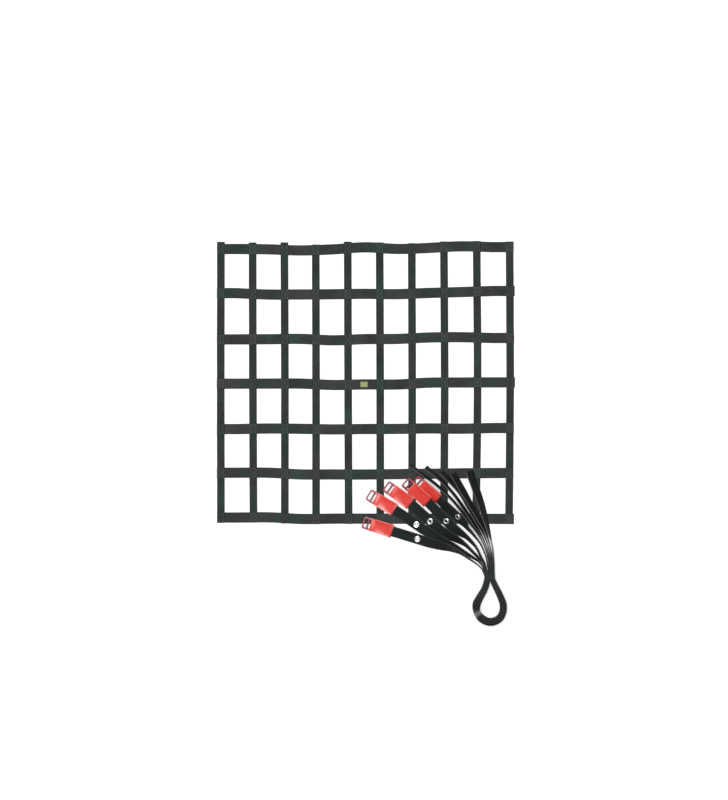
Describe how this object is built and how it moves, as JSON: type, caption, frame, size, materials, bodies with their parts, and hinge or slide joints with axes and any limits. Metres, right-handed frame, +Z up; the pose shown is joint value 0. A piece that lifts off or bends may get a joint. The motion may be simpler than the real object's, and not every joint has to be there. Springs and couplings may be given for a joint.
{
  "type": "webbing safety net with fastening straps",
  "caption": "Flat safety net of crossed webbing straps forming a square lattice, with its fastening straps, each with an end buckle and an eyelet, gathered in a loop and laid over one corner.",
  "frame": {"origin": "centre of the footprint of net and straps, on the surface that they lie on", "axes": "+X to the right along the net's rungs, +Y up the net along its uprights, away from the loop of straps, +Z up from the surface"},
  "size_m": [1.005, 1.2937, 0.0418],
  "materials": {
    "net_webbing": "woven, matt",
    "strap_webbing": "woven, matt",
    "buckle_plastic": "moulded, satin",
    "eyelet_metal": "nickel plated",
    "label_cloth": "woven tape"
  },
  "bodies": {
    "root": {"net_upright_01": "net_webbing", "net_upright_02": "net_webbing", "net_upright_03": "net_webbing", "net_upright_04": "net_webbing", "net_upright_05": "net_webbing", "net_upright_06": "net_webbing", "net_upright_07": "net_webbing", "net_upright_08": "net_webbing", "net_upright_09": "net_webbing", "net_upright_10": "net_webbing", "net_rung_01": "net_webbing", "net_rung_02": "net_webbing", "net_rung_03": "net_webbing", "net_rung_04": "net_webbing", "net_rung_05": "net_webbing", "net_rung_06": "net_webbing", "net_rung_07": "net_webbing", "net_label": "label_cloth", "strap_1": "strap_webbing", "strap_2": "strap_webbing", "strap_3": "strap_webbing", "strap_4": "strap_webbing", "strap_5": "strap_webbing", "strap_head_1": "strap_webbing", "strap_head_2": "strap_webbing", "strap_head_3": "strap_webbing", "strap_head_4": "strap_webbing", "strap_head_5": "strap_webbing", "buckle_1": "buckle_plastic", "buckle_2": "buckle_plastic", "buckle_3": "buckle_plastic", "buckle_4": "buckle_plastic", "buckle_5": "buckle_plastic", "eyelet_1": "eyelet_metal", "eyelet_2": "eyelet_metal", "eyelet_3": "eyelet_metal", "eyelet_4": "eyelet_metal", "eyelet_5": "eyelet_metal"}
  },
  "joints": []
}
